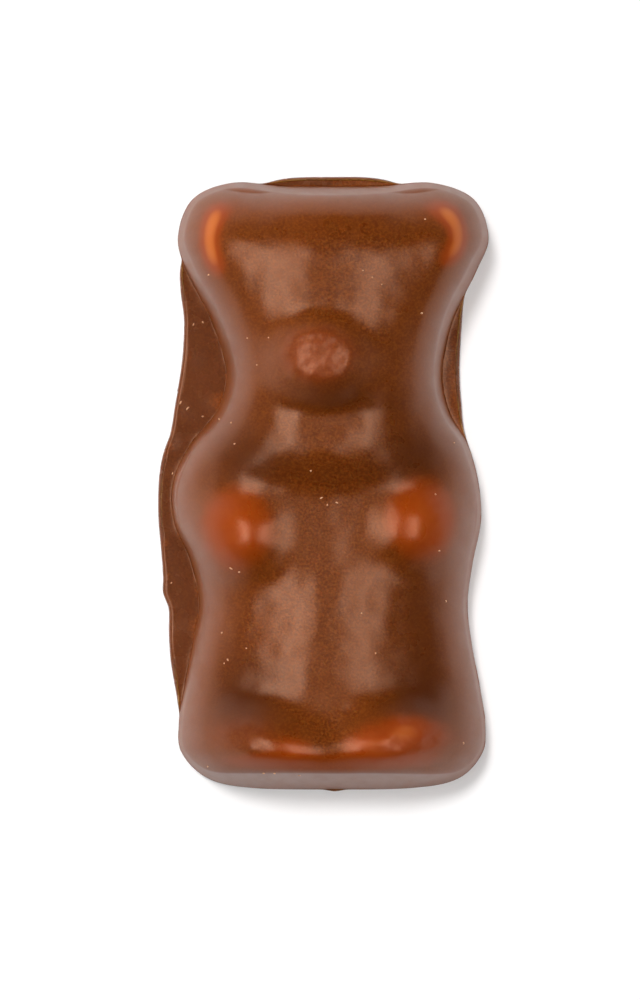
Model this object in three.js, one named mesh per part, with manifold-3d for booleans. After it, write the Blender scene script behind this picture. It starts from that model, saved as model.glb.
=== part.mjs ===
// A gummy bear coated in milk chocolate, lying on its flat back with its front up.
// It is one piece: the body, and the thin foot of chocolate that ran out round it on the belt and set.
//
// Units are millimetres. +Z points up out of the front, +Y from the soles to the head, and +X to the right
// as one looks down on the front. The origin is on the flat back, in the middle of the body.

import * as THREE from "three";
import { mergeVertices } from "three/addons/utils/BufferGeometryUtils.js";
import Module from "manifold-3d";

const wasm = await Module();
wasm.setup();

// ---- Driving dimensions ----

const CROWN = 12.96; // from the origin to the top of the head
const SOLES = -12.96; // and to the soles
const EARS = 6.67; // half widths, at the back
const NECK = 4.64;
const ARMS = 6.6;
const WAIST = 5.77;
const LEGS = 6.58;

const TOP = 8.25; // height of the front along the middle, before the relief is added
const ROUND = 5.15; // how far the front falls in a half ellipse from there to the sides
const CROWN_ROLL = 3.65; // radius of the roll over the crown
const CROWN_BOW = 0.05; // how fast this roll starts lower away from the middle
const BOW_REACH = 3.8; // and how far out
const SIDE_SLOPE = 84.8; // degrees, the draft of the sides
const SOLE_SLOPE = 82.8; // and of the soles
const SHOULDER = 0.9; // radius of the roll from the sides to the front
const SOLE_SHOULDER = 0.2; // the same at the crisp edge of the soles
const ROUND_END = 0.97; // share of the ellipse and of the crown's roll after which they fall no further

const FOOT_THICKNESS = 0.5; // the set chocolate round the back, and the height where the sides start

// ---- Outlines ----

// The body's outline from the crown to the soles, as [half width, y, shift of its middle].
const HALF_BODY = [
  [0, CROWN - 0.02, 0],
  [2.2, CROWN, 0], // the crown is nearly straight between the ears
  [4.3, CROWN + 0.12, 0],
  [6.03, 12.38, 0.05], // ear corner
  [EARS, 10.75, 0.05],
  [EARS - 0.47, 9.25, -0.02],
  [NECK + 0.56, 7.2, 0],
  [NECK, 5.0, 0.1],
  [NECK + 0.34, 3.3, 0.04],
  [ARMS - 0.68, 1.9, -0.12], // shoulder
  [ARMS - 0.06, 0.3, -0.27],
  [ARMS, -1.4, -0.2],
  [ARMS - 0.55, -3.2, 0],
  [WAIST, -5.0, 0.05],
  [WAIST + 0.23, -6.7, 0],
  [LEGS - 0.24, -8.5, 0],
  [LEGS, -10.1, 0],
  [LEGS - 0.13, -11.4, 0],
  [5.35, SOLES + 0.46, 0.05], // sole corner
  [3.4, SOLES + 0.06, 0],
  [0, SOLES, 0],
];
const EAR_CORNER = 3; // their places in the list
const SOLE_CORNER = 18;

// The foot's outline as [x, y], clockwise from the crown. It shows where it passes the body: over the crown,
// down the bear's right side, in the hollow of its left cheek and faintly at its left waist.
const FOOT = [
  [0, 13.34],
  [1.7, 13.31],
  [2.9, 13.02],
  [4.2, 12.2],
  [5.6, 10.6],
  [5.85, 9.2],
  [5.66, 8.0],
  [5.55, 6.6],
  [5.48, 5.0],
  [5.57, 3.5],
  [5.7, 2.3],
  [6.1, 1.0],
  [6.2, -1.0],
  [6.05, -2.9],
  [5.86, -4.2],
  [5.78, -5.4],
  [5.9, -7.0],
  [6.0, -8.8],
  [5.9, -10.6],
  [4.6, -11.8],
  [2.0, -12.45],
  [0.9, -12.8],
  [0.1, -13.08],
  [-0.7, -12.8],
  [-2.4, -12.45],
  [-4.6, -11.9],
  [-6.0, -11.0],
  [-6.5, -9.9],
  [-6.72, -8.7],
  [-6.94, -7.4],
  [-7.01, -6.2],
  [-7.02, -5.2],
  [-7.28, -4.5],
  [-7.26, -3.9],
  [-7.36, -2.5],
  [-7.47, -1.0],
  [-7.42, 0.5],
  [-7.27, 1.4],
  [-7.02, 2.1], // a small step, where two runs of chocolate met
  [-6.9, 2.4],
  [-6.76, 3.5],
  [-6.6, 4.4],
  [-6.42, 5.7],
  [-6.36, 7.2],
  [-6.52, 8.6],
  [-6.42, 9.8],
  [-5.4, 11.2],
  [-4.4, 12.3],
  [-3.0, 13.02],
  [-1.8, 13.3],
];

// ---- Front ----

// The front's half ellipse along the body, as [y, half width, middle]. Each eases into the next.
const SECTIONS = [
  [-14, LEGS, 0],
  [-10.3, LEGS, 0],
  [-5.2, WAIST + 0.13, 0.05],
  [-0.5, ARMS, -0.22],
  [4.9, NECK + 0.14, 0.1],
  [10.75, EARS, 0.05],
  [14, EARS, 0.05],
];

// Each rise or dip is a soft lobe: where it is, its radii along and across, and its height. turn is in
// degrees, a squareness over 1 flattens its top, and mirrored repeats it on the other side.
const LOBES = [
  { name: "muzzle", at: [-0.5, 5.45], radii: [2.1, 1.75], rise: 0.85, squareness: 1.9 },
  { name: "snout", at: [-0.55, 5.6], radii: [1.5, 1.25], rise: 0.12, squareness: 4 },
  { name: "chest", at: [1.6, 2.2], radii: [2.0, 1.3], rise: 0.3, turn: 20, mirrored: true },
  { name: "right paw", at: [-4.3, -2.1], radii: [2.1, 1.75], rise: 1.35, squareness: 1.3 },
  { name: "left paw", at: [4.2, -1.8], radii: [2.1, 1.75], rise: 1.35, squareness: 1.3 },
  { name: "belly", at: [-0.1, -5.6], radii: [2.6, 3.2], rise: 0.3 },
  { name: "creases", at: [3.8, -9.2], radii: [2.2, 1.5], rise: -0.35, mirrored: true },
  { name: "right foot", at: [-3.2, -11.0], radii: [3.0, 1.8], rise: 1.6, turn: -20, squareness: 1.2 },
  { name: "left foot", at: [2.9, -10.85], radii: [3.0, 1.8], rise: 1.6, turn: 20, squareness: 1.2 },
  { name: "ears", at: [5.1, 10.75], radii: [1.3, 1.6], rise: 0.25, mirrored: true },
];

// Soft steps down towards the soles, across the whole width: height lost below the line y, over a width.
const CHIN_FALL = { y: 3.55, drop: 0.65, width: 0.33 };
const CHEST_FALL = { y: 0.4, drop: 0.9, width: 0.45 };
const TOE_FALL = { y: -11.75, drop: 0.9, width: 0.25 };
const SOLE_LINE = { y: -11.0, width: 0.25, x: 5.2, fade: 0.35 }; // the crisp edge is within this

// ---- Mesh ----

const COLUMNS = 36;
const ROWS = 72;
const CROWDING = 0.65; // how much closer the lines are at the sides than in the middle, from 0 to 1
const OUTLINE_STEPS = 6; // pieces of each span when the distance to the outline is measured
const LENGTH_STEPS = 20; // and when lengths along it are
const FOOT_STEPS = 3;
const FOOT_EDGE = [ // rounded edge of the foot, as [inset, height as a share of the thickness]
  [0.1, 0],
  [0, 0.3],
  [0.03, 0.65],
  [0.12, 0.9],
  [0.3, 1],
];

const softStep = (t, width) => 1 / (1 + Math.exp(-t / width));

function closedCurve(stations) {
  const points = stations.map(([x, y]) => new THREE.Vector3(x, y, 0));
  const curve = new THREE.CatmullRomCurve3(points, true, "catmullrom", 0.5);
  curve.arcLengthDivisions = stations.length * LENGTH_STEPS;
  return curve;
}

function bodyStations() {
  const right = HALF_BODY.map(([half, y, shift]) => [shift + half, y]);
  const left = HALF_BODY.slice(1, -1).map(([half, y, shift]) => [shift - half, y]);
  return [...right, ...left.reverse()];
}

// Height of one lobe at x, y.
function lobeHeight(lobe, x, y) {
  const turn = THREE.MathUtils.degToRad(lobe.turn ?? 0);
  const dx = x - lobe.at[0];
  const dy = y - lobe.at[1];
  const along = (dx * Math.cos(turn) + dy * Math.sin(turn)) / lobe.radii[0];
  const across = (dy * Math.cos(turn) - dx * Math.sin(turn)) / lobe.radii[1];
  const reach = along * along + across * across;
  return lobe.rise * Math.exp(-Math.pow(reach, lobe.squareness ?? 1));
}

// Height of a list of lobes at x, y, the mirrored ones counted on both sides.
function lobesHeight(lobes, x, y) {
  let height = 0;
  for (const lobe of lobes) {
    height += lobeHeight(lobe, x, y);
    if (lobe.mirrored) height += lobeHeight(lobe, -x, y);
  }
  return height;
}

// Half width and middle of the front's ellipse at y.
function sectionAt(y) {
  let [, half, middle] = SECTIONS[0];
  for (let i = 1; i < SECTIONS.length; i++) {
    const [from, halfBefore, middleBefore] = SECTIONS[i - 1];
    const [to, halfAfter, middleAfter] = SECTIONS[i];
    const share = THREE.MathUtils.smoothstep(y, from, to);
    half += (halfAfter - halfBefore) * share;
    middle += (middleAfter - middleBefore) * share;
  }
  return { half, middle };
}

// How far a quarter circle of radius 1 has fallen at t out of 1.
function roundDrop(t) {
  const within = THREE.MathUtils.clamp(t, 0, ROUND_END);
  return 1 - Math.sqrt(1 - within * within);
}

// Height lost to a soft step.
const fallHeight = (fall, y) => fall.drop * softStep(fall.y - y, fall.width);

// Height of the front at x, y if it had no sides.
function frontHeight(x, y) {
  const section = sectionAt(y);
  const barrel = ROUND * roundDrop(Math.abs(x - section.middle) / section.half);
  const bow = CROWN_BOW * x * x * Math.exp(-Math.pow(x / BOW_REACH, 4));
  const crown = CROWN_ROLL * roundDrop((y + bow - CROWN + CROWN_ROLL) / CROWN_ROLL);
  const falls = fallHeight(CHIN_FALL, y) + fallHeight(CHEST_FALL, y) + fallHeight(TOE_FALL, y);
  return TOP - barrel - crown + lobesHeight(LOBES, x, y) - falls;
}

// How much of a point belongs to the soles and their crisp edge, from 0 to 1.
function soleShare(x, y) {
  const low = softStep(SOLE_LINE.y - y, SOLE_LINE.width);
  const inner = softStep(SOLE_LINE.x - Math.abs(x), SOLE_LINE.fade);
  return low * inner;
}

// Height of the body at a point inset from its outline: a steep side, a rolled shoulder, the front.
function bodyHeight(x, y, inset) {
  if (inset <= 0) return 0;
  const soles = soleShare(x, y);
  const slope = Math.tan(THREE.MathUtils.degToRad(THREE.MathUtils.lerp(SIDE_SLOPE, SOLE_SLOPE, soles)));
  const radius = THREE.MathUtils.lerp(SHOULDER, SOLE_SHOULDER, soles);
  const front = frontHeight(x, y);
  const edge = Math.hypot(1, slope);
  const shoulderEnd = (front - FOOT_THICKNESS + radius * (edge - 1)) / slope; // where the roll is level
  const back = Math.max(shoulderEnd - inset, 0);
  if (back >= (radius * slope) / edge) return FOOT_THICKNESS + inset * slope;
  return front - radius + Math.sqrt(radius * radius - back * back);
}

// Distance from a point to the nearest piece of a closed outline.
function distanceTo(outline, point) {
  const nearest = new THREE.Vector3();
  const piece = new THREE.Line3();
  let least = Infinity;
  for (let i = 1; i < outline.length; i++) {
    piece.set(outline[i - 1], outline[i]);
    piece.closestPointToPoint(point, true, nearest);
    least = Math.min(least, nearest.distanceTo(point));
  }
  return least;
}

// A stretch of a closed curve by length, from one station to another, as a function of 0 to 1.
function stretch(curve, from, to) {
  const lengths = curve.getLengths();
  const total = lengths.at(-1);
  const perStation = curve.arcLengthDivisions / curve.points.length;
  const place = (station) => {
    const laps = Math.floor(station / curve.points.length);
    const rest = station - laps * curve.points.length;
    return laps + lengths[Math.round(rest * perStation)] / total;
  };
  const start = place(from);
  const span = place(to) - start;
  return (s) => curve.getPointAt(THREE.MathUtils.euclideanModulo(start + span * s, 1));
}

// Lines that stand closer together near 0 and 1.
function crowdedLines(count) {
  const lines = [];
  for (let i = 0; i <= count; i++) {
    const t = i / count;
    lines.push(t - (CROWDING * Math.sin(2 * Math.PI * t)) / (2 * Math.PI));
  }
  return lines;
}

// The front and sides are a grid stretched between the crown, the soles and the two sides.
function bodyGeometry() {
  const curve = closedCurve(bodyStations());
  const outline = curve.getPoints(curve.points.length * OUTLINE_STEPS);
  const count = curve.points.length;
  const crown = stretch(curve, -EAR_CORNER, EAR_CORNER);
  const soles = stretch(curve, count - SOLE_CORNER, SOLE_CORNER);
  const right = stretch(curve, SOLE_CORNER, EAR_CORNER);
  const left = stretch(curve, count - SOLE_CORNER, count - EAR_CORNER);
  const across = crowdedLines(COLUMNS);
  const up = crowdedLines(ROWS);
  const positions = [];
  const at = (column, row) => row * (COLUMNS + 1) + column;
  for (let row = 0; row <= ROWS; row++) {
    for (let column = 0; column <= COLUMNS; column++) {
      const point = stretchedPoint(across[column], up[row], { crown, soles, right, left });
      const onEdge = row === 0 || row === ROWS || column === 0 || column === COLUMNS;
      const inset = onEdge ? 0 : distanceTo(outline, point);
      positions.push(point.x, point.y, bodyHeight(point.x, point.y, inset));
    }
  }
  const faces = [];
  for (let row = 0; row < ROWS; row++) {
    for (let column = 0; column < COLUMNS; column++) {
      const corners = [at(column, row), at(column + 1, row), at(column + 1, row + 1), at(column, row + 1)];
      faces.push(...splitQuad(corners, positions));
    }
  }
  faces.push(...backFaces(edgeLoop(at), positions));
  return indexedGeometry(positions, faces);
}

// Point of the stretched grid at u across and v up.
function stretchedPoint(u, v, edges) {
  const mix = (a, b, t) => new THREE.Vector3().lerpVectors(a, b, t);
  const upright = mix(edges.soles(u), edges.crown(u), v);
  const level = mix(edges.left(v), edges.right(v), u);
  const low = mix(edges.soles(0), edges.soles(1), u);
  const high = mix(edges.crown(0), edges.crown(1), u);
  return upright.add(level).sub(mix(low, high, v));
}

// Two triangles of a quad, split along the diagonal whose ends are closer in height.
function splitQuad([a, b, c, d], positions) {
  const z = (index) => positions[3 * index + 2];
  if (Math.abs(z(a) - z(c)) < Math.abs(z(b) - z(d))) return [a, b, c, a, c, d];
  return [a, b, d, b, c, d];
}

// The grid's edge, anticlockwise.
function edgeLoop(at) {
  const loop = [];
  for (let column = 0; column < COLUMNS; column++) loop.push(at(column, 0));
  for (let row = 0; row < ROWS; row++) loop.push(at(COLUMNS, row));
  for (let column = COLUMNS; column > 0; column--) loop.push(at(column, ROWS));
  for (let row = ROWS; row > 0; row--) loop.push(at(0, row));
  return loop;
}

// Flat faces that close an anticlockwise loop from below.
function backFaces(loop, positions) {
  const contour = loop.map((index) => new THREE.Vector2(positions[3 * index], positions[3 * index + 1]));
  return THREE.ShapeUtils.triangulateShape(contour, []).flatMap(([a, b, c]) => [loop[a], loop[c], loop[b]]);
}

// The foot: its outline with a rounded edge, flat above and below.
function footGeometry() {
  const curve = closedCurve([...FOOT].reverse());
  const count = curve.points.length * FOOT_STEPS;
  const positions = [];
  for (const [inset, share] of FOOT_EDGE) {
    for (let i = 0; i < count; i++) {
      const point = curve.getPoint(i / count);
      const tangent = curve.getTangent(i / count);
      positions.push(point.x - tangent.y * inset, point.y + tangent.x * inset, FOOT_THICKNESS * share);
    }
  }
  const faces = [];
  for (let ring = 0; ring < FOOT_EDGE.length - 1; ring++) {
    for (let i = 0; i < count; i++) {
      const next = (i + 1) % count;
      const low = ring * count;
      const high = low + count;
      faces.push(...splitQuad([low + i, low + next, high + next, high + i], positions));
    }
  }
  const ringLoop = (ring) => Array.from({ length: count }, (_, i) => ring * count + i);
  const top = backFaces(ringLoop(FOOT_EDGE.length - 1), positions).reverse();
  faces.push(...backFaces(ringLoop(0), positions), ...top);
  return indexedGeometry(positions, faces);
}

function indexedGeometry(positions, faces) {
  const geometry = new THREE.BufferGeometry();
  geometry.setAttribute("position", new THREE.Float32BufferAttribute(positions, 3));
  geometry.setIndex(faces);
  return mergeVertices(geometry);
}

function toSolid(geometry) {
  const mesh = new wasm.Mesh({
    numProp: 3,
    vertProperties: new Float32Array(geometry.attributes.position.array),
    triVerts: new Uint32Array(geometry.index.array),
  });
  return new wasm.Manifold(mesh);
}

function toGeometry(solid) {
  const mesh = solid.getMesh();
  const geometry = new THREE.BufferGeometry();
  geometry.setAttribute("position", new THREE.BufferAttribute(mesh.vertProperties, 3));
  geometry.setIndex(new THREE.BufferAttribute(mesh.triVerts, 1));
  geometry.computeVertexNormals();
  return geometry;
}

const milkChocolate = new THREE.MeshStandardMaterial({ color: "#6f4127", roughness: 0.35, metalness: 0 });

const solid = toSolid(bodyGeometry()).add(toSolid(footGeometry()));
const bear = new THREE.Mesh(toGeometry(solid), milkChocolate);
bear.name = "bear";

const part = new THREE.Group();
part.add(bear);

export default part;
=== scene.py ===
"""The looks of a gummy bear coated in milk chocolate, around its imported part, in metres.

The bear lies on its flat back on a white table, and the camera looks straight down on its front. Its shape is
worked out here in millimetres, from the values that its CAD solid has, with finer relief, and is then scaled.
"""

import math

import bpy
import numpy as np
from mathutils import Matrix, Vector


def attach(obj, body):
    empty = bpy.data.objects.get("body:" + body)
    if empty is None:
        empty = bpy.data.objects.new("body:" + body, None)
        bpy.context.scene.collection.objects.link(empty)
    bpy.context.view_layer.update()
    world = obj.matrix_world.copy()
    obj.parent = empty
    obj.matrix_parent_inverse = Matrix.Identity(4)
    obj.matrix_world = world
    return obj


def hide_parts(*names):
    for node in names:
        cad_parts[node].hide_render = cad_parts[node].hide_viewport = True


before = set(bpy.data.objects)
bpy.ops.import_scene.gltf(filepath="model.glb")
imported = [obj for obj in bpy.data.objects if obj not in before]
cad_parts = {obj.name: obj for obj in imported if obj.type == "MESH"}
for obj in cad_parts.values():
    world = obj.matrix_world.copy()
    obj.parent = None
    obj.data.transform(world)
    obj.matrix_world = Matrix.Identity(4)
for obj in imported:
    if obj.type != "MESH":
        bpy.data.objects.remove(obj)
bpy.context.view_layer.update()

MM = 0.001
SEED = 7

# ---- Body, in mm ----

CROWN = 12.96
SOLES = -12.96
EARS = 6.67  # half widths
NECK = 4.64
ARMS = 6.6
WAIST = 5.77
LEGS = 6.58

TOP = 8.25  # height of the front along the middle, before the relief is added
ROUND = 5.15  # how far the front falls in a half ellipse from there to the sides
CROWN_ROLL = 3.65  # radius
CROWN_BOW = 0.05  # how fast the roll starts lower away from the middle
BOW_REACH = 3.8  # and how far out
SIDE_SLOPE = 84.8  # degrees, the draft of the sides
SOLE_SLOPE = 82.8  # and of the soles
SHOULDER = 0.9  # radius of the roll from the sides to the front
SOLE_SHOULDER = 0.2  # the same at the crisp edge of the soles
SIDE_FILLET = 0.015  # hollow turn where a side meets the foot
ROUND_END = 0.97  # share of the ellipse and of the crown's roll after which they fall no further

FOOT_THICKNESS = 0.5
FOOT_LEAST = 0.004  # how far the foot stands out where it doesn't show
FOOT_SEARCH = 2.8  # how far out from the body the foot's outline is looked for
FOOT_STEPS = 8  # points of its outline to a station
FOOT_SMOOTHING = 6  # rounds of averaging its reach along the body's edge
FOOT_RIPPLE = dict(share=0.05, length=1.6)  # waves in its thickness: share of it, and length

# Unevenness of the coating: height and length of its waves, and its place in the draws.
SWELLS = [(0.03, 3.2, 0), (0.008, 1.1, 1)]
SCUFFING = [(0.022, 0.6, 2), (0.008, 0.3, 3)]
WAVES = 14  # plane waves added up in each
WAVE_SPREAD = (0.7, 1.5)  # their least and greatest length, as a share of the length given

# The body's outline from the crown to the soles, as (half width, y, shift of its middle).
HALF_BODY = [
    (0, CROWN - 0.02, 0),
    (2.2, CROWN, 0),
    (4.3, CROWN + 0.12, 0),
    (6.03, 12.38, 0.05),
    (EARS, 10.75, 0.05),
    (EARS - 0.47, 9.25, -0.02),
    (NECK + 0.56, 7.2, 0),
    (NECK, 5.0, 0.1),
    (NECK + 0.34, 3.3, 0.04),
    (ARMS - 0.68, 1.9, -0.12),
    (ARMS - 0.06, 0.3, -0.27),
    (ARMS, -1.4, -0.2),
    (ARMS - 0.55, -3.2, 0),
    (WAIST, -5.0, 0.05),
    (WAIST + 0.23, -6.7, 0),
    (LEGS - 0.24, -8.5, 0),
    (LEGS, -10.1, 0),
    (LEGS - 0.13, -11.4, 0),
    (5.35, SOLES + 0.46, 0.05),
    (3.4, SOLES + 0.06, 0),
    (0, SOLES, 0),
]
EAR_CORNER = 3  # their places in the list
SOLE_CORNER = 18

# The foot's outline, clockwise from the crown.
FOOT = [
    (0, 13.34),
    (1.7, 13.31),
    (2.9, 13.02),
    (4.2, 12.2),
    (5.6, 10.6),
    (5.85, 9.2),
    (5.66, 8.0),
    (5.55, 6.6),
    (5.48, 5.0),
    (5.57, 3.5),
    (5.7, 2.3),
    (6.1, 1.0),
    (6.2, -1.0),
    (6.05, -2.9),
    (5.86, -4.2),
    (5.78, -5.4),
    (5.9, -7.0),
    (6.0, -8.8),
    (5.9, -10.6),
    (4.6, -11.8),
    (2.0, -12.45),
    (0.9, -12.8),
    (0.1, -13.08),
    (-0.7, -12.8),
    (-2.4, -12.45),
    (-4.6, -11.9),
    (-6.0, -11.0),
    (-6.5, -9.9),
    (-6.72, -8.7),
    (-6.94, -7.4),
    (-7.01, -6.2),
    (-7.02, -5.2),
    (-7.28, -4.5),
    (-7.26, -3.9),
    (-7.36, -2.5),
    (-7.47, -1.0),
    (-7.42, 0.5),
    (-7.27, 1.4),
    (-7.02, 2.1),
    (-6.9, 2.4),
    (-6.76, 3.5),
    (-6.6, 4.4),
    (-6.42, 5.7),
    (-6.36, 7.2),
    (-6.52, 8.6),
    (-6.42, 9.8),
    (-5.4, 11.2),
    (-4.4, 12.3),
    (-3.0, 13.02),
    (-1.8, 13.3),
]

# The front's ellipse along the body, as (y, half width, middle), with an easy change from each to the next.
SECTIONS = [
    (-14, LEGS, 0),
    (-10.3, LEGS, 0),
    (-5.2, WAIST + 0.13, 0.05),
    (-0.5, ARMS, -0.22),
    (4.9, NECK + 0.14, 0.1),
    (10.75, EARS, 0.05),
    (14, EARS, 0.05),
]

# Relief: place, radii, height, and optionally turn in degrees, squareness and mirroring. Here and in the
# glows, the places of painted shade and the scuffs, the name says which feature an entry makes.
LOBES = [
    dict(name="muzzle", at=(-0.5, 5.45), radii=(2.1, 1.75), rise=0.85, squareness=1.9),
    dict(name="snout", at=(-0.55, 5.6), radii=(1.5, 1.25), rise=0.12, squareness=4),
    dict(name="chest", at=(1.6, 2.2), radii=(2.0, 1.3), rise=0.3, turn=20, mirrored=True),
    dict(name="right paw", at=(-4.3, -2.1), radii=(2.1, 1.75), rise=1.35, squareness=1.3),
    dict(name="left paw", at=(4.2, -1.8), radii=(2.1, 1.75), rise=1.35, squareness=1.3),
    dict(name="belly", at=(-0.1, -5.6), radii=(2.6, 3.2), rise=0.3),
    dict(name="creases", at=(3.8, -9.2), radii=(2.2, 1.5), rise=-0.35, mirrored=True),
    dict(name="right foot", at=(-3.2, -11.0), radii=(3.0, 1.8), rise=1.6, turn=-20, squareness=1.2),
    dict(name="left foot", at=(2.9, -10.85), radii=(3.0, 1.8), rise=1.6, turn=20, squareness=1.2),
    dict(name="ears", at=(5.1, 10.75), radii=(1.3, 1.6), rise=0.25, mirrored=True),
]
# Soft steps down across the front.
CHIN_FALL = dict(y=3.55, drop=0.65, width=0.33)
CHEST_FALL = dict(y=0.4, drop=0.9, width=0.45)
TOE_FALL = dict(y=-11.75, drop=0.9, width=0.25)
SOLE_LINE = dict(y=-11.0, width=0.25, x=5.2, fade=0.35)  # below it, the sides are soles

# Where the chocolate is thin and the orange gum glows through it; the entries right toe and left toe also
# paint highlights.
GUM_GLOWS_AND_PAINTED_HIGHLIGHTS = [
    dict(name="right paw", at=(-4.1, -1.75), radii=(1.8, 2.0), rise=0.9, squareness=1.7),
    dict(name="left paw", at=(3.8, -1.35), radii=(1.7, 1.95), rise=0.95, squareness=1.7),
    dict(name="right foot", at=(-3.3, -10.9), radii=(2.2, 1.0), rise=0.3, squareness=1.5),
    # Partly painted highlights: these two brighten each foot's ridge in orange where it catches the light,
    # besides the gum showing through.
    dict(name="right toe", at=(-1.6, -11.05), radii=(0.9, 0.5), rise=0.6),
    dict(name="left toe", at=(1.3, -10.95), radii=(1.1, 0.5), rise=0.5),
    dict(name="right foot blotch", at=(-4.1, -10.6), radii=(0.7, 0.5), rise=-0.5),
    dict(name="left foot", at=(3.1, -10.6), radii=(2.3, 1.1), rise=0.75, squareness=1.5),
    dict(name="left foot spot", at=(3.1, -10.35), radii=(0.7, 0.45), rise=0.4),
    dict(name="toes", at=(-0.2, -11.7), radii=(5.2, 0.5), rise=0.55, squareness=1.8),
    dict(name="snout", at=(-0.6, 5.5), radii=(1.5, 1.2), rise=0.35, squareness=1.8),
    dict(name="ear haze", at=(4.3, 11.9), radii=(1.5, 0.8), rise=0.3, mirrored=True),
    dict(name="brow", at=(0.4, 11.2), radii=(2.6, 0.8), rise=0.18),
    dict(name="chin", at=(-0.1, 3.9), radii=(1.6, 0.5), rise=0.2),
]
# The same glow along an arc: centre, radius, half width, middle direction and half span in degrees.
ARC_GLOWS = [
    dict(name="right ear", at=(-3.08, 10.55), radius=2.15, width=0.5, towards=180, span=44, rise=1.25),
    dict(name="left ear", at=(4.1, 10.7), radius=1.25, width=0.5, towards=5, span=75, rise=1.2),
]
# Painted shade: places whose colour is darkened where shade falls, on the thighs, the shoulders, a flank and
# under the chin.
PAINTED_SHADE = [
    dict(name="thighs", at=(4.0, -8.9), radii=(1.9, 1.7), rise=1.0, mirrored=True),
    dict(name="shoulders", at=(3.7, 1.3), radii=(1.8, 1.5), rise=0.8, mirrored=True),
    dict(name="flank", at=(4.0, -5.5), radii=(1.5, 2.2), rise=0.6),
    dict(name="chin", at=(0.8, 3.7), radii=(2.6, 0.9), rise=0.5),
]
# Where the coating is rubbed.
SCUFFS = [
    dict(name="snout", at=(-0.55, 5.6), radii=(1.6, 1.25), rise=1.0, squareness=4),
    dict(name="right foot", at=(-3.8, -10.6), radii=(1.5, 0.8), rise=0.5, squareness=2),
    dict(name="left foot", at=(3.2, -10.7), radii=(1.9, 0.8), rise=0.8, squareness=2),
]

MARKS_START = dict(z=4.5, fade=0.5)  # the height where these marks start
SIDE_START = dict(facing=0.7, fade=0.06)  # a side is where the surface faces less upward than this
FOOT_TOP = 1.02 * FOOT_THICKNESS
PAINTED_SHADE_FOOT = 0.6  # how strongly painted shade darkens the foot at the bear's right
RIM = dict(width=0.12, top=1.3 * FOOT_THICKNESS, off_body=0.1)  # the foot's lighter edge, clear of the body

# Pale crumbs that stuck to the coating: x, y, length and turn in degrees.
CRUMBS = [
    (-5.25, 9.05, 0.13, 40),
    (-3.6, 6.35, 0.09, 10),
    (-2.7, 6.35, 0.07, 0),
    (-3.2, 5.2, 0.08, 60),
    (-5.95, 7.0, 0.16, 70),
    (-5.55, 7.1, 0.12, 120),
    (-6.5, 3.65, 0.2, 60),
    (-6.2, 3.4, 0.22, 50),
    (-5.55, 3.05, 0.12, 20),
    (-4.8, 2.9, 0.14, 140),
    (-4.3, 2.75, 0.1, 80),
    (-4.15, 1.85, 0.12, 30),
    (-6.85, 0.6, 0.14, 75),
    (-6.9, -4.1, 0.1, 40),
    (3.8, 7.4, 0.14, 10),
    (3.95, 11.4, 0.1, 0),
    (2.1, 8.6, 0.1, 45),
    (1.3, 9.2, 0.09, 130),
    (1.7, 8.9, 0.08, 80),
    (-4.3, -3.45, 0.2, 150),
    (-3.95, -3.6, 0.14, 20),
    (-0.45, -0.45, 0.2, 25),
    (-0.2, -0.75, 0.12, 100),
    (0.2, -0.65, 0.16, 155),
    (-0.9, 0.7, 0.13, 60),
    (-4.7, -6.2, 0.12, 45),
    (-4.45, -7.35, 0.15, 130),
    (-4.6, -7.5, 0.09, 45),
    (-3.65, -6.85, 0.08, 0),
    (1.25, -5.35, 0.08, 30),
    (1.85, -7.05, 0.1, 60),
    (4.85, -4.85, 0.12, 110),
    (5.2, 1.9, 0.1, 20),
    (4.4, -0.3, 0.08, 50),
    (4.55, -2.7, 0.12, 15),
    (-2.9, -12.15, 0.14, 15),
    (-2.45, -12.15, 0.12, 160),
    (-1.4, -12.25, 0.14, 5),
    (-5.3, -11.9, 0.12, 50),
    (5.6, -10.9, 0.12, 100),
]

CRUMB_SIDES = 7
CRUMB_HALF_WIDTH = 0.04
CRUMB_RINGS = [(-0.03, 1.0), (0.02, 0.9), (0.05, 0.45)]  # height above the coating, and share of its reach
CRUMB_RAGGED = (0.75, 1.1)  # least and greatest share of the reach at a corner
CRUMB_LIFT = 0.005  # unevenness of a corner's height
CRUMB_ON_FOOT = 0.95 * FOOT_THICKNESS

COLUMNS = 170  # of the body's mesh
ROWS = 380
CROWDING = 0.6  # of its lines towards the sides and the ends
OUTLINE_STEPS = 16  # points of the body's outline to a station


# ---- Shape ----


def closed_curve(stations, steps):
    """Points of a smooth closed curve through the stations, steps to a span."""
    points = np.array(stations, float)
    count = len(points)
    t = np.arange(steps)[:, None] / steps
    spans = []
    for i in range(count):
        a, b, c, d = points[i - 1], points[i], points[(i + 1) % count], points[(i + 2) % count]
        slope = c - a
        bend = 2 * a - 5 * b + 4 * c - d
        twist = 3 * b - a - 3 * c + d
        spans.append(0.5 * (2 * b + slope * t + bend * t**2 + twist * t**3))
    return np.vstack(spans)


def body_outline():
    right = [(shift + half, y) for half, y, shift in HALF_BODY]
    left = [(shift - half, y) for half, y, shift in HALF_BODY[1:-1]]
    return closed_curve(right + left[::-1], OUTLINE_STEPS)


def soft_step(t, width):
    return 1 / (1 + np.exp(np.clip(-t / width, -60, 60)))


def lobe_height(lobe, x, y):
    turn = math.radians(lobe.get("turn", 0))
    dx, dy = x - lobe["at"][0], y - lobe["at"][1]
    along = (dx * math.cos(turn) + dy * math.sin(turn)) / lobe["radii"][0]
    across = (dy * math.cos(turn) - dx * math.sin(turn)) / lobe["radii"][1]
    return lobe["rise"] * np.exp(-((along**2 + across**2) ** lobe.get("squareness", 1)))


def lobes_height(lobes, x, y):
    height = 0
    for lobe in lobes:
        height = height + lobe_height(lobe, x, y)
        if lobe.get("mirrored"):
            height = height + lobe_height(lobe, -x, y)
    return height


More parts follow.
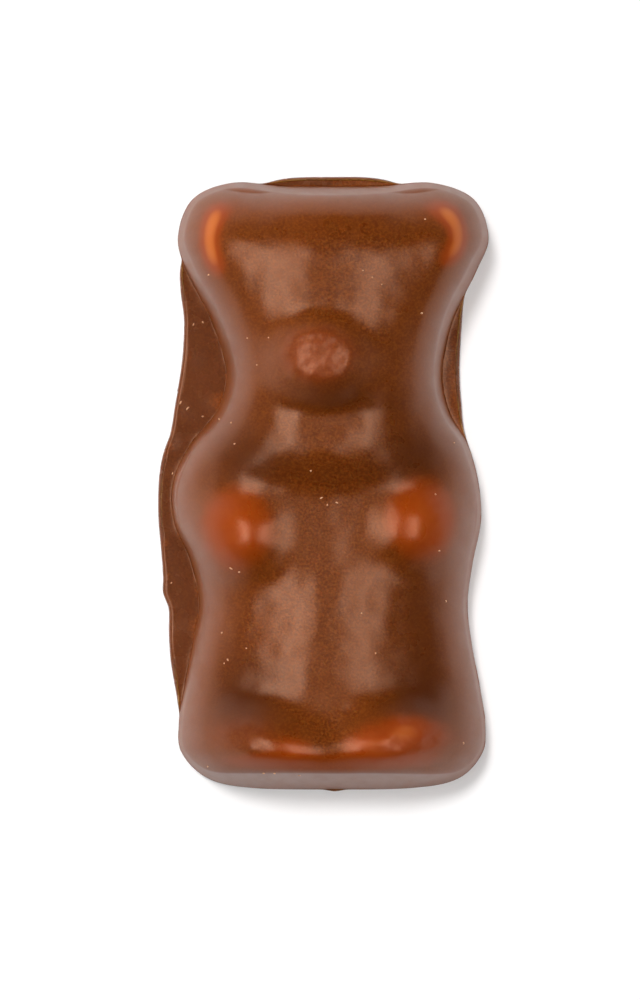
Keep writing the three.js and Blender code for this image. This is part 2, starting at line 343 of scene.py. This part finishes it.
def along_sections(y, column):
    """A column of the sections at y."""
    value = SECTIONS[0][column]
    for before, after in zip(SECTIONS, SECTIONS[1:]):
        t = np.clip((y - before[0]) / (after[0] - before[0]), 0, 1)
        value = value + (after[column] - before[column]) * t * t * (3 - 2 * t)
    return value


def round_drop(t):
    """How far a quarter circle of radius 1 has fallen at t out of 1."""
    return 1 - np.sqrt(1 - np.clip(t, 0, ROUND_END) ** 2)


def fall(line, past):
    return line["drop"] * soft_step(past, line["width"])


def front_height(x, y):
    """Height of the front if it had no sides."""
    barrel = ROUND * round_drop(np.abs(x - along_sections(y, 2)) / along_sections(y, 1))
    bow = CROWN_BOW * x**2 * np.exp(-((x / BOW_REACH) ** 4))
    crown = CROWN_ROLL * round_drop((y + bow - CROWN + CROWN_ROLL) / CROWN_ROLL)
    falls = sum(fall(line, line["y"] - y) for line in (CHIN_FALL, CHEST_FALL, TOE_FALL))
    return TOP + lobes_height(LOBES, x, y) - barrel - crown - falls


def body_height(x, y, inset):
    """Height of the body at points inset from its outline: a steep side, a rolled shoulder, and the front."""
    low = soft_step(SOLE_LINE["y"] - y, SOLE_LINE["width"])
    soles = low * soft_step(SOLE_LINE["x"] - np.abs(x), SOLE_LINE["fade"])
    slope = np.tan(np.radians(SIDE_SLOPE + (SOLE_SLOPE - SIDE_SLOPE) * soles))
    climb = np.hypot(inset, SIDE_FILLET) - SIDE_FILLET
    side = FOOT_THICKNESS + climb * slope
    front = front_height(x, y) + uneven(x, y)
    radius = SHOULDER + (SOLE_SHOULDER - SHOULDER) * soles
    edge = np.hypot(1, slope)
    shoulder_end = (front - FOOT_THICKNESS + radius * (edge - 1)) / slope
    back = np.clip(shoulder_end - climb, 0, None)
    rolled = front - radius + np.sqrt(np.maximum(radius**2 - back**2, 0))
    return np.where(back < radius * slope / edge, rolled, side)


def waves(x, y, size, seed):
    """Smooth noise of about -1 to 1, made of plane waves of about the given length."""
    draw = np.random.default_rng(seed)
    total = 0
    for _ in range(WAVES):
        heading = draw.uniform(0, 2 * math.pi)
        pitch = 2 * math.pi / (size * draw.uniform(*WAVE_SPREAD))
        phase = draw.uniform(0, 2 * math.pi)
        total = total + np.sin(pitch * (x * math.cos(heading) + y * math.sin(heading)) + phase)
    return total / math.sqrt(WAVES)


def wavy(kinds, x, y):
    return sum(height * waves(x, y, size, SEED + place) for height, size, place in kinds)


def uneven(x, y):
    """What sets the coating apart from a smooth mould, in mm."""
    return wavy(SWELLS, x, y) + wavy(SCUFFING, x, y) * lobes_height(SCUFFS, x, y)


def distance_to(outline, x, y):
    """Distance from each point to a closed outline."""
    least = np.full(x.shape, np.inf)
    for a, b in zip(outline, np.roll(outline, -1, axis=0)):
        ex, ey = b - a
        wx, wy = x - a[0], y - a[1]
        t = np.clip((wx * ex + wy * ey) / (ex * ex + ey * ey), 0, 1)
        least = np.minimum(least, np.hypot(wx - t * ex, wy - t * ey))
    return least


def inside(outline, x, y):
    """Whether a point lies within a closed outline."""
    crossings = 0
    for (ax, ay), (bx, by) in zip(outline, np.roll(outline, -1, axis=0)):
        if (ay > y) != (by > y) and x < ax + (y - ay) * (bx - ax) / (by - ay):
            crossings += 1
    return crossings % 2 == 1


def stretch(outline, start, end, shares):
    """Points by length along a closed outline, from one of its places to another."""
    closed = np.vstack([outline, outline[:1]])
    lengths = np.concatenate([[0], np.cumsum(np.hypot(*np.diff(closed, axis=0).T))])
    total = lengths[-1]
    count = len(outline)
    first, last = ((place // count) * total + lengths[place % count] for place in (start, end))
    along = (first + (last - first) * shares) % total
    return np.stack([np.interp(along, lengths, closed[:, axis]) for axis in (0, 1)], axis=-1)


def crowded_lines(count):
    t = np.linspace(0, 1, count + 1)
    return t - CROWDING * np.sin(2 * math.pi * t) / (2 * math.pi)


def body_grid(outline):
    """A grid stretched between the crown, the soles and the two sides: x and y of each crossing."""
    count = len(outline)
    ear, sole = EAR_CORNER * OUTLINE_STEPS, SOLE_CORNER * OUTLINE_STEPS
    u, v = crowded_lines(COLUMNS), crowded_lines(ROWS)
    crown = stretch(outline, -ear, ear, u)
    soles = stretch(outline, count - sole, sole, u)
    right = stretch(outline, sole, ear, v)
    left = stretch(outline, count - sole, count - ear, v)
    u, v = u[None, :, None], v[:, None, None]
    upright = soles[None] * (1 - v) + crown[None] * v
    level = left[:, None] * (1 - u) + right[:, None] * u
    low = soles[0] * (1 - u) + soles[-1] * u
    high = crown[0] * (1 - u) + crown[-1] * u
    grid = upright + level - (low * (1 - v) + high * v)
    return grid[..., 0], grid[..., 1]


def edge_loop():
    """Indices of the grid's edge, anticlockwise."""
    width = COLUMNS + 1
    bottom = list(range(COLUMNS))
    right = [r * width + COLUMNS for r in range(ROWS)]
    top = [ROWS * width + c for c in range(COLUMNS, 0, -1)]
    left = [r * width for r in range(ROWS, 0, -1)]
    return bottom + right + top + left


def foot_reach(points, normals):
    """How far the foot stands out from each point of the body's edge, along its normal."""
    foot = closed_curve(FOOT, FOOT_STEPS)
    after = np.roll(foot, -1, axis=0)
    reach = np.full(len(points), FOOT_LEAST)
    for a, b in zip(foot, after):
        span = b - a
        cross = normals[:, 0] * span[1] - normals[:, 1] * span[0]
        gap = a - points
        with np.errstate(divide="ignore", invalid="ignore"):
            along = (gap[:, 0] * span[1] - gap[:, 1] * span[0]) / cross
            share = (gap[:, 0] * normals[:, 1] - gap[:, 1] * normals[:, 0]) / cross
        hit = (share >= 0) & (share <= 1) & (along > 0) & (along < FOOT_SEARCH)
        reach = np.where(hit, np.maximum(reach, along), reach)
    return reach


# Across the foot: share of its reach, inset from its edge in mm (at most half the reach), and share of its
# thickness.
FOOT_RINGS = [
    (0.015, 0, 0.99),
    (0.04, 0, 0.98),
    (0.12, 0, 0.96),
    (0.3, 0, 0.95),
    (0.5, 0, 0.95),
    (0.7, 0, 0.96),
    (0.85, 0.04, 0.97),
    (1, 0.16, 0.96),
    (1, 0.08, 0.88),
    (1, 0.03, 0.74),
    (1, 0, 0.5),
    (1, 0.01, 0.25),
    (1, 0.05, 0.08),
    (1, 0.1, 0),
]


def bear_mesh():
    """The whole bear as one closed mesh: front and sides, foot, and flat back."""
    outline = body_outline()
    x, y = body_grid(outline)
    inset = distance_to(outline, x.ravel(), y.ravel()).reshape(x.shape)
    inset[0], inset[-1], inset[:, 0], inset[:, -1] = 0, 0, 0, 0
    points = np.stack([x, y, body_height(x, y, inset)], axis=-1).reshape(-1, 3)
    width = COLUMNS + 1
    corner = (np.arange(ROWS)[:, None] * width + np.arange(COLUMNS)[None]).ravel()
    quads = np.stack([corner, corner + 1, corner + 1 + width, corner + width], axis=-1).tolist()

    loop = edge_loop()
    edge = points[loop, :2]
    tangents = np.roll(edge, -1, axis=0) - np.roll(edge, 1, axis=0)
    tangents /= np.hypot(*tangents.T)[:, None]
    normals = np.stack([tangents[:, 1], -tangents[:, 0]], axis=-1)
    reach = foot_reach(edge, normals)
    for _ in range(FOOT_SMOOTHING):
        reach = (np.roll(reach, 1) + 2 * reach + np.roll(reach, -1)) / 4
    inner = loop
    for share, rim, height in FOOT_RINGS:
        out = reach * share - np.minimum(rim, reach / 2)
        ring_xy = edge + normals * out[:, None]
        ripple = 1 + FOOT_RIPPLE["share"] * waves(*ring_xy.T, FOOT_RIPPLE["length"], SEED + 5)
        z = FOOT_THICKNESS * height * ripple
        start = len(points)
        points = np.vstack([points, np.column_stack([ring_xy, z])])
        ring = list(range(start, start + len(edge)))
        after = ring[1:] + ring[:1]
        inner_after = inner[1:] + inner[:1]
        quads += [[a, d, c, b] for a, b, c, d in zip(inner, inner_after, after, ring)]
        inner = ring
    quads.append(inner[::-1])
    return points, quads


def make_object(name, points, faces, material):
    mesh = bpy.data.meshes.new(name)
    mesh.from_pydata((np.asarray(points) * MM).tolist(), [], faces)
    mesh.validate()
    mesh.shade_smooth()
    mesh.materials.append(material)
    piece = bpy.data.objects.new(name, mesh)
    bpy.context.scene.collection.objects.link(piece)
    return piece


def arc_glow(arc, x, y):
    dx, dy = x - arc["at"][0], y - arc["at"][1]
    off = (np.hypot(dx, dy) - arc["radius"]) / arc["width"]
    heading = np.degrees(np.arctan2(dy, dx)) - arc["towards"]
    heading = (heading + 180) % 360 - 180
    return arc["rise"] * np.exp(-(off**2) - (heading / arc["span"]) ** 4)


def vertex_normals(mesh):
    normals = np.empty(3 * len(mesh.vertices), np.float32)
    mesh.vertex_normals.foreach_get("vector", normals)
    return normals.reshape(-1, 3)


def add_mask(mesh, name, values):
    layer = mesh.attributes.new(name, "FLOAT", "POINT")
    layer.data.foreach_set("value", np.asarray(values, np.float32))


# ---- Materials ----


class Nodes:
    """Short names for building a tree of nodes."""

    def __init__(self, tree):
        self.tree = tree

    def add(self, kind, **inputs):
        node = self.tree.nodes.new(kind)
        for key, value in inputs.items():
            self.put(node.inputs[key.replace("_", " ")], value)
        return node

    def put(self, socket, value):
        if isinstance(value, bpy.types.NodeSocket):
            self.tree.links.new(value, socket)
        else:
            socket.default_value = value

    def math(self, operation, a, b):
        node = self.tree.nodes.new("ShaderNodeMath")
        node.operation = operation
        self.put(node.inputs[0], a)
        self.put(node.inputs[1], b)
        return node.outputs[0]

    def ramp(self, value, low, high, to_low=0.0, to_high=1.0):
        node = self.tree.nodes.new("ShaderNodeMapRange")
        node.interpolation_type = "SMOOTHSTEP"
        for socket, number in zip(node.inputs[:5], (value, low, high, to_low, to_high)):
            self.put(socket, number)
        return node.outputs[0]

    def mix(self, share, a, b):
        node = self.tree.nodes.new("ShaderNodeMix")
        node.data_type = "RGBA"
        self.put(node.inputs["Factor"], share)
        self.put(node.inputs[6], a)
        self.put(node.inputs[7], b)
        return node.outputs[2]

    def mask(self, name):
        node = self.tree.nodes.new("ShaderNodeAttribute")
        node.attribute_name = name
        return node.outputs["Fac"]

    def place(self, scale=(1, 1, 1)):
        """The point on the piece, in mm."""
        where = self.tree.nodes.new("ShaderNodeTexCoord").outputs["Object"]
        mapping = self.tree.nodes.new("ShaderNodeMapping")
        mapping.inputs["Scale"].default_value = [s / MM for s in scale]
        self.tree.links.new(where, mapping.inputs["Vector"])
        return mapping.outputs[0]

    def noise(self, place, size, detail=2.0, roughness=0.5):
        inputs = dict(Vector=place, Scale=1 / size, Detail=detail, Roughness=roughness)
        return self.add("ShaderNodeTexNoise", **inputs).outputs["Fac"]


def new_material(name):
    """A material, its nodes and its shader."""
    material = bpy.data.materials.new(name)
    material.use_nodes = True
    return material, Nodes(material.node_tree), material.node_tree.nodes["Principled BSDF"]


def to_linear(value):
    return value / 12.92 if value <= 0.04045 else ((value + 0.055) / 1.055) ** 2.4


def rgb(red, green, blue):
    """A colour given as it looks on screen, 0 to 255, in the linear values that nodes take."""
    return (*(to_linear(value / 255) for value in (red, green, blue)), 1.0)


DARK_MILK = rgb(86, 35, 4)
LIGHT_MILK = rgb(96, 41, 6)
GRAIN = rgb(122, 60, 16)
# Painted light: the steep sides are lighter, in place of light bounced up from the white table.
SIDE_PAINTED_LIGHT = rgb(116, 56, 18)
# The colour of the painted shade.
PAINTED_SHADE_MILK = rgb(74, 30, 4)
ORANGE = rgb(148, 58, 5)
BRIGHT_ORANGE = rgb(190, 100, 38)
SCUFFED = rgb(136, 58, 26)
FOOT_RIM = rgb(112, 60, 32)
DARK_CRUMB = rgb(186, 128, 88)
LIGHT_CRUMB = rgb(224, 178, 138)
WHITE = (1.0, 1.0, 1.0, 1.0)
TABLE_WHITE = (0.93, 0.93, 0.93, 1.0)
WARM_REFLECTION = (1.0, 0.64, 0.45, 1.0)


def chocolate_colour(nodes, place):
    cloud = nodes.noise(place, size=2.5, detail=3)
    grain = nodes.noise(place, size=0.1, detail=3, roughness=0.6)
    mottle = nodes.noise(place, size=0.5, detail=3, roughness=0.6)

    milk = nodes.mix(nodes.ramp(cloud, 0.35, 0.7), DARK_MILK, LIGHT_MILK)
    # Painted light on the steep sides, in place of light bounced from the table.
    milk = nodes.mix(nodes.mask("side"), milk, SIDE_PAINTED_LIGHT)
    milk = nodes.mix(nodes.ramp(grain, 0.35, 0.7), milk, GRAIN)
    # Painted shade: darker where shade falls, on the thighs, shoulders, a flank, under the chin and on part
    # of the foot.
    milk = nodes.mix(nodes.mask("painted_shade"), milk, PAINTED_SHADE_MILK)

    # The glow mask also carries painted highlights on the ridges of the feet.
    glow = nodes.mask("glow")
    patchy = nodes.math("ADD", glow, nodes.math("MULTIPLY", nodes.math("SUBTRACT", mottle, 0.5), 0.5))
    share = nodes.ramp(nodes.math("MULTIPLY", glow, nodes.ramp(patchy, -0.1, 0.6)), 0.0, 1.1)
    colour = nodes.mix(share, milk, ORANGE)
    colour = nodes.mix(nodes.ramp(glow, 0.85, 1.3), colour, BRIGHT_ORANGE)
    colour = nodes.mix(nodes.math("MULTIPLY", nodes.mask("scuff"), 0.4), colour, SCUFFED)
    return nodes.mix(nodes.mask("rim"), colour, FOOT_RIM)


def chocolate_roughness(nodes, place):
    roughness = nodes.ramp(nodes.noise(place, size=0.6, detail=3), 0.3, 0.75, 0.25, 0.29)
    for mask, more in (("scuff", 0.06), ("side", 0.18)):
        roughness = nodes.math("ADD", roughness, nodes.math("MULTIPLY", nodes.mask(mask), more))
    return roughness


def chocolate_bump(nodes, place):
    front = nodes.ramp(nodes.mask("side"), 0.0, 1.0, 1.0, 0.4)
    fine = nodes.add("ShaderNodeBump", Distance=0.006 * MM, Height=nodes.noise(place, size=0.09))
    nodes.put(fine.inputs["Strength"], nodes.math("MULTIPLY", front, 0.9))
    broad = nodes.add("ShaderNodeBump", Distance=0.02 * MM, Height=nodes.noise(place, size=0.45, detail=3))
    nodes.put(broad.inputs["Strength"], nodes.math("MULTIPLY", front, 0.12))
    nodes.put(broad.inputs["Normal"], fine.outputs[0])
    return broad.outputs[0]


def chocolate_material():
    material, nodes, shader = new_material("milk_chocolate")
    place = nodes.place((1, 1, 0.25))  # the marks are drawn out down the sides
    nodes.put(shader.inputs["Base Color"], chocolate_colour(nodes, place))
    nodes.put(shader.inputs["Roughness"], chocolate_roughness(nodes, place))
    nodes.put(shader.inputs["Normal"], chocolate_bump(nodes, place))
    shader.inputs["IOR"].default_value = 1.5
    shader.inputs["Specular Tint"].default_value = WARM_REFLECTION
    shader.inputs["Subsurface Weight"].default_value = 0.3
    shader.inputs["Subsurface Radius"].default_value = (1.0, 0.35, 0.12)
    shader.inputs["Subsurface Scale"].default_value = 0.5 * MM
    return material


def crumb_material():
    material, nodes, shader = new_material("pale_specks")
    shade = nodes.noise(nodes.place(), size=0.1)
    nodes.put(shader.inputs["Base Color"], nodes.mix(shade, LIGHT_CRUMB, DARK_CRUMB))
    shader.inputs["Roughness"].default_value = 0.7
    return material


# ---- Pieces ----


def add_masks(mesh, points):
    """Writes into the mesh where each mark of the coating lies."""
    x, y, z = points.T
    inset = distance_to(body_outline(), x, y)
    marks = soft_step(z - MARKS_START["z"], MARKS_START["fade"])
    glow = lobes_height(GUM_GLOWS_AND_PAINTED_HIGHLIGHTS, x, y) + sum(arc_glow(arc, x, y) for arc in ARC_GLOWS)
    add_mask(mesh, "glow", np.clip(glow, 0, 2) * marks)
    add_mask(mesh, "scuff", np.clip(lobes_height(SCUFFS, x, y), 0, 1) * marks)

    # The side mask carries the painted light on the steep sides, and also their greater roughness and weaker
    # bump.
    facing = vertex_normals(mesh)[:, 2]
    side = soft_step(SIDE_START["facing"] - facing, SIDE_START["fade"])
    add_mask(mesh, "side", side * (inset > 0) * (z > FOOT_THICKNESS))

    # Painted shade on the foot at the bear's right, where it catches light bounced from the table.
    painted_shade_foot = PAINTED_SHADE_FOOT * (z < FOOT_TOP) * (x < 0)
    add_mask(mesh, "painted_shade", np.clip(lobes_height(PAINTED_SHADE, x, y) * marks + painted_shade_foot, 0, 1))

    from_edge = distance_to(closed_curve(FOOT, FOOT_STEPS), x, y)
    rim = np.exp(-((from_edge / RIM["width"]) ** 2)) * (z < RIM["top"]) * (inset > RIM["off_body"])
    add_mask(mesh, "rim", rim)


def make_bear():
    points, faces = bear_mesh()
    piece = make_object("bear_coating", points, faces, chocolate_material())
    add_masks(piece.data, points)
    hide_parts("bear")
    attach(piece, "root")


def coating_height(outline, x, y):
    """Height of the coating at one point of the body or the foot."""
    if not inside(outline, x, y):
        return CRUMB_ON_FOOT
    x, y = np.array([x]), np.array([y])
    return body_height(x, y, distance_to(outline, x, y))[0]


def make_crumbs():
    """Small uneven flakes that lie on the coating."""
    draw = np.random.default_rng(SEED + 9)
    outline = body_outline()
    points, faces = [], []
    for x, y, length, turn in CRUMBS:
        z = coating_height(outline, x, y)
        along = Vector((math.cos(math.radians(turn)), math.sin(math.radians(turn)), 0))
        across = Vector((-along.y, along.x, 0))
        start = len(points)
        for height, reach in CRUMB_RINGS:
            for side in range(CRUMB_SIDES):
                angle = 2 * math.pi * side / CRUMB_SIDES
                out = reach * draw.uniform(*CRUMB_RAGGED)
                shift = along * (0.5 * length * out * math.cos(angle))
                shift += across * (CRUMB_HALF_WIDTH * out * math.sin(angle))
                lift = height + draw.uniform(-CRUMB_LIFT, CRUMB_LIFT)
                points.append((x + shift.x, y + shift.y, z + lift))
        bottom, middle, top = np.arange(start, len(points)).reshape(len(CRUMB_RINGS), CRUMB_SIDES).tolist()
        for low, high in ((bottom, middle), (middle, top)):
            for side in range(CRUMB_SIDES):
                after = (side + 1) % CRUMB_SIDES
                faces.append([low[side], low[after], high[after], high[side]])
        faces += [bottom[::-1], top]
    piece = make_object("pale_crumbs", points, faces, crumb_material())
    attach(piece, "root")


# ---- Stage ----

TABLE_SIZE = 3.0
CAMERA_HEIGHT = 0.6
CAMERA_CLIP = (0.01, 10)
FRAME_TALL = 42.975 * MM  # what the picture's 1000 pixels of height cover on the table
FRAME_CENTRE = (-0.516 * MM, -0.537 * MM)
SENSOR = 36.0
WINDOW_DISTANCE = 0.6
WINDOW_LAYERS = 5
LAYER_GAP = 0.01
CONE = 16  # degrees
LAMP_RADIUS = 0.06
GLOW_TOWARDS = (-0.85, 0.5, 0.15)


def make_table():
    mesh = bpy.data.meshes.new("table")
    half = TABLE_SIZE / 2
    corners = [(-half, -half, 0), (half, -half, 0), (half, half, 0), (-half, half, 0)]
    mesh.from_pydata(corners, [], [(0, 1, 2, 3)])
    material, nodes, shader = new_material("white_table")
    shader.inputs["Base Color"].default_value = TABLE_WHITE
    shader.inputs["Roughness"].default_value = 0.8
    mesh.materials.append(material)
    table = bpy.data.objects.new("table", mesh)
    bpy.context.scene.collection.objects.link(table)


def make_camera():
    data = bpy.data.cameras.new("camera")
    data.sensor_width = SENSOR
    data.lens = SENSOR * CAMERA_HEIGHT / FRAME_TALL
    data.clip_start, data.clip_end = CAMERA_CLIP
    camera = bpy.data.objects.new("camera", data)
    camera.location = (*FRAME_CENTRE, CAMERA_HEIGHT)
    bpy.context.scene.collection.objects.link(camera)
    bpy.context.scene.camera = camera


def hang(data, polar, azimuth, distance):
    """A light that faces the bear, placed by its angles from the zenith and from +X, in degrees."""
    light = bpy.data.objects.new(data.name, data)
    tilt, turn = math.radians(polar), math.radians(azimuth)
    level = math.sin(tilt)
    light.location = Vector((level * math.cos(turn), level * math.sin(turn), math.cos(tilt))) * distance
    light.rotation_euler = (tilt, 0, turn + math.pi / 2)
    bpy.context.scene.collection.objects.link(light)
    return light


def make_softbox(name, polar, azimuth, distance, size, radiance):
    """A rectangular light."""
    data = bpy.data.lights.new(name, "AREA")
    data.shape = "RECTANGLE"
    data.size, data.size_y = size
    data.energy = radiance * math.pi * size[0] * size[1]
    light = hang(data, polar, azimuth, distance)
    light.visible_camera = False
    return light


def make_spot(name, polar, azimuth, distance, power):
    """A lamp with a wide soft cone that lights the bear and the table round it, and isn't reflected."""
    data = bpy.data.lights.new(name, "SPOT")
    data.energy = power
    data.spot_size = math.radians(CONE)
    data.spot_blend = 1.0
    data.shadow_soft_size = LAMP_RADIUS
    light = hang(data, polar, azimuth, distance)
    light.visible_glossy = False
    return light


def make_soft_window(name, polar, azimuth, inner, outer, radiance):
    """A light that is bright in its middle and fades to its edge, seen only as a reflection."""
    for layer in range(WINDOW_LAYERS):
        grow = layer / (WINDOW_LAYERS - 1)
        size = [a + (b - a) * grow for a, b in zip(inner, outer)]
        distance = WINDOW_DISTANCE + LAYER_GAP * layer
        light = make_softbox(f"{name}_{layer}", polar, azimuth, distance, size, radiance / WINDOW_LAYERS)
        light.visible_diffuse = False


def make_room():
    """Dim surroundings: light at the horizon and overhead, and a little towards the left and the head."""
    world = bpy.data.worlds.new("room")
    world.use_nodes = True
    nodes = Nodes(world.node_tree)
    towards = nodes.add("ShaderNodeTexCoord").outputs["Generated"]
    height = nodes.add("ShaderNodeSeparateXYZ", Vector=towards).outputs["Z"]
    leftwards = nodes.add("ShaderNodeVectorMath")
    leftwards.operation = "DOT_PRODUCT"
    nodes.put(leftwards.inputs[0], towards)
    nodes.put(leftwards.inputs[1], GLOW_TOWARDS)
    horizon = nodes.ramp(height, 0.0, 0.2, 0.3, 0.01)
    glow = nodes.ramp(leftwards.outputs["Value"], 0.2, 0.9, 0.0, 0.07)
    overhead = nodes.ramp(height, 0.86, 0.96, 0.0, 0.4)
    background = world.node_tree.nodes["Background"]
    nodes.put(background.inputs["Strength"], nodes.math("ADD", nodes.math("ADD", horizon, glow), overhead))
    background.inputs["Color"].default_value = WHITE
    bpy.context.scene.world = world


def make_lights():
    for name, polar, azimuth, radiance in (("left", 39, 174, 6.5), ("right", 29, 0, 4.8)):
        make_soft_window(name, polar, azimuth, inner=(0.38, 0.08), outer=(0.8, 0.48), radiance=radiance)
    key = make_spot("key", polar=58, azimuth=150, distance=0.7, power=9.5)
    make_spot("top", polar=15, azimuth=127, distance=0.8, power=14.0)
    right_low = make_spot("right_low", polar=84, azimuth=-15, distance=0.7, power=5.0)
    fill = make_softbox("fill", polar=10, azimuth=140, distance=0.8, size=(0.7, 0.7), radiance=1.75)
    fill.visible_glossy = False
    for light in (key, right_low, fill):
        light.data.use_shadow = False
    make_room()
    bpy.context.scene.view_settings.view_transform = "Standard"


make_camera()
make_bear()
make_crumbs()
make_table()
make_lights()
